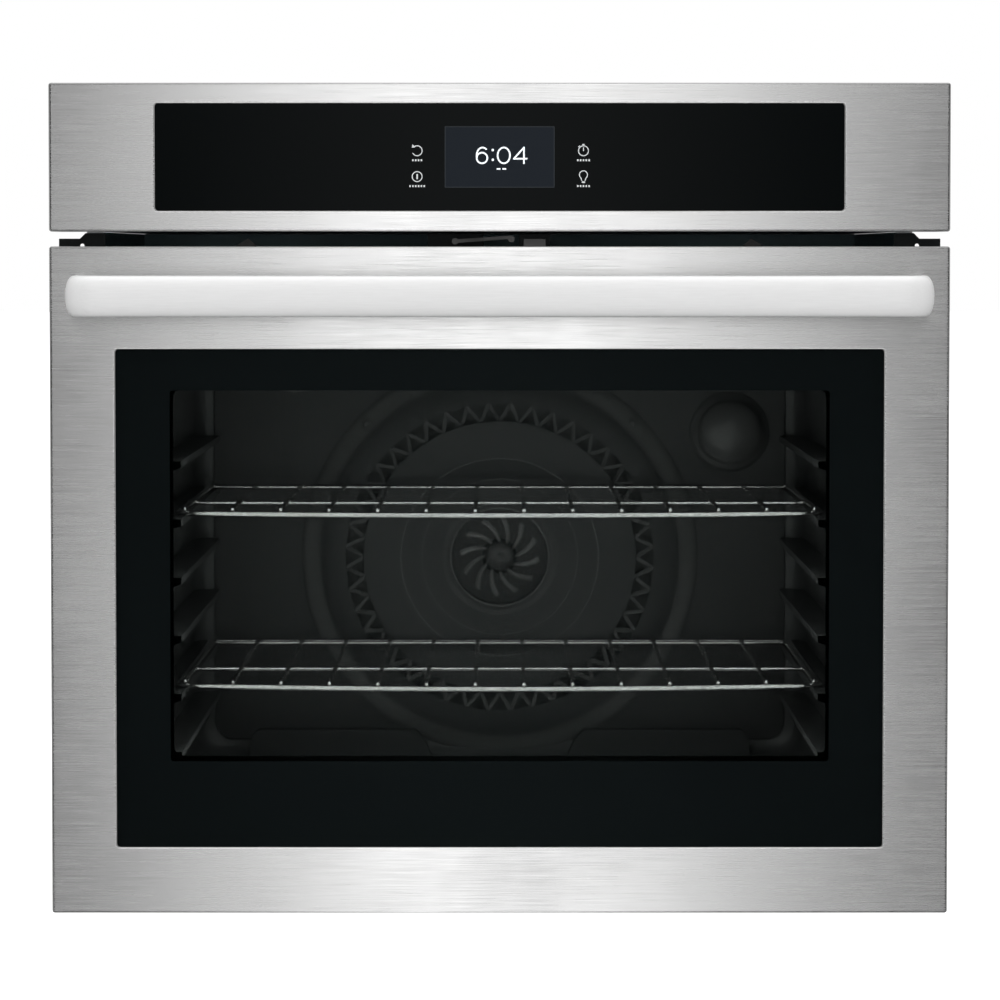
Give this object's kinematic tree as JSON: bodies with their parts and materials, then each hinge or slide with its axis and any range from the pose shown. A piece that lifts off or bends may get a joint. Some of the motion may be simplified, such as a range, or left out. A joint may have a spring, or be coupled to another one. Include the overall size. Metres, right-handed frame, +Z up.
{
  "type": "built-in wall oven",
  "caption": "Built-in electric wall oven with a drop-down door, full-width bar handle, dark window, wire racks and a steel control panel with a glass touch strip.",
  "frame": {"origin": "bottom centre of the whole oven's box; the underside of the base pan is at height zero", "axes": "+X to the oven's right as you face its door, +Y into the wall, +Z up; the door faces -Y"},
  "size_m": [0.762, 0.674, 0.709],
  "materials": {
    "brushed_steel": "satin",
    "handle_steel": "satin",
    "galvanised_steel": "satin",
    "black_enamel": "gloss",
    "black_paint": "satin",
    "black_glass": "gloss",
    "clear_glass": "gloss",
    "chrome_wire": "polished",
    "element_sheath": "matte",
    "insulation": "matte",
    "gasket_braid": "matte",
    "circuit_board": "matte",
    "grey_plastic": "matte",
    "black_plastic": "satin",
    "motor_steel": "satin",
    "lamp_white": "satin",
    "screen": "gloss"
  },
  "bodies": {
    "chassis": {"base_pan": "galvanised_steel", "side_panel_left": "galvanised_steel", "side_panel_right": "galvanised_steel", "top_cover": "galvanised_steel", "rear_cover": "galvanised_steel", "front_frame": "black_enamel", "side_trim_left": "black_paint", "side_trim_right": "black_paint", "cavity_wall_left": "black_enamel", "cavity_wall_right": "black_enamel", "cavity_ceiling": "black_enamel", "cavity_floor": "black_enamel", "cavity_back_wall": "black_enamel", "insulation_wrap": "insulation", "insulation_back": "insulation", "fan_cover": "black_enamel", "broil_element": "element_sheath", "bake_element": "element_sheath", "lamp_lens": "clear_glass", "lamp_bulb": "lamp_white", "lamp_housing": "motor_steel", "temperature_probe": "chrome_wire", "convection_motor": "motor_steel", "thermal_cutout": "black_plastic", "blower_housing": "galvanised_steel", "blower_motor": "motor_steel", "air_duct": "black_paint", "control_deck": "galvanised_steel", "control_panel": "brushed_steel", "control_glass": "black_glass", "display_module": "screen", "control_board": "circuit_board", "relay_board": "circuit_board", "wire_harness": "black_plastic", "junction_box": "galvanised_steel", "latch_motor": "black_plastic", "door_switch": "black_plastic", "hinge_receiver_left": "galvanised_steel", "hinge_receiver_right": "galvanised_steel", "hinge_arm_left": "motor_steel", "hinge_arm_right": "motor_steel", "door_gasket": "gasket_braid"},
    "door": {"door_skin": "brushed_steel", "door_outer_glass": "black_glass", "door_middle_glass": "clear_glass", "door_inner_glass": "clear_glass", "door_liner": "black_enamel", "door_insulation": "insulation", "door_top_trim": "black_plastic", "door_handle": "handle_steel", "hinge_channel_left": "galvanised_steel", "hinge_channel_right": "galvanised_steel", "hinge_spring_left": "motor_steel", "hinge_spring_right": "motor_steel"},
    "upper_rack": {"rack_upper": "chrome_wire"},
    "lower_rack": {"rack_lower": "chrome_wire"},
    "fan": {"convection_fan": "motor_steel"},
    "blower_wheel": {"cooling_wheel": "motor_steel"},
    "latch": {"latch_hook": "chrome_wire"},
    "switch": {"switch_plunger": "grey_plastic"}
  },
  "joints": [
    {"name": "door_hinge", "type": "hinge", "parent": "chassis", "child": "door", "pos_m": [0, -0.247, 0.013], "axis": [1, 0, 0], "range_deg": [0, 90], "stiffness_Nm_per_rad": 15, "springref_deg": -17.19},
    {"name": "rack_upper_slide", "type": "slide", "parent": "chassis", "child": "upper_rack", "axis": [0, -1, 0], "range_m": [0, 0.3]},
    {"name": "rack_lower_slide", "type": "slide", "parent": "chassis", "child": "lower_rack", "axis": [0, -1, 0], "range_m": [0, 0.3]},
    {"name": "convection_fan_spin", "type": "hinge", "parent": "chassis", "child": "fan", "pos_m": [0, 0.24, 0.2686], "axis": [0, 1, 0], "continuous": true},
    {"name": "cooling_wheel_spin", "type": "hinge", "parent": "chassis", "child": "blower_wheel", "pos_m": [0, 0.24, 0.632], "axis": [1, 0, 0], "continuous": true},
    {"name": "latch_turn", "type": "hinge", "parent": "chassis", "child": "latch", "pos_m": [-0.038, -0.25, 0.5754], "axis": [0, 1, 0], "range_deg": [0, 20]},
    {"name": "switch_plunger_slide", "type": "slide", "parent": "chassis", "child": "switch", "axis": [0, -1, 0], "range_m": [0, 0.006]}
  ],
  "couplings": [
    {"joint": "rack_upper_slide", "follows": "door_hinge", "m_per_rad": 0.19},
    {"joint": "rack_lower_slide", "follows": "door_hinge", "m_per_rad": 0.19},
    {"joint": "switch_plunger_slide", "follows": "door_hinge", "m_per_rad": 0.0038}
  ]
}
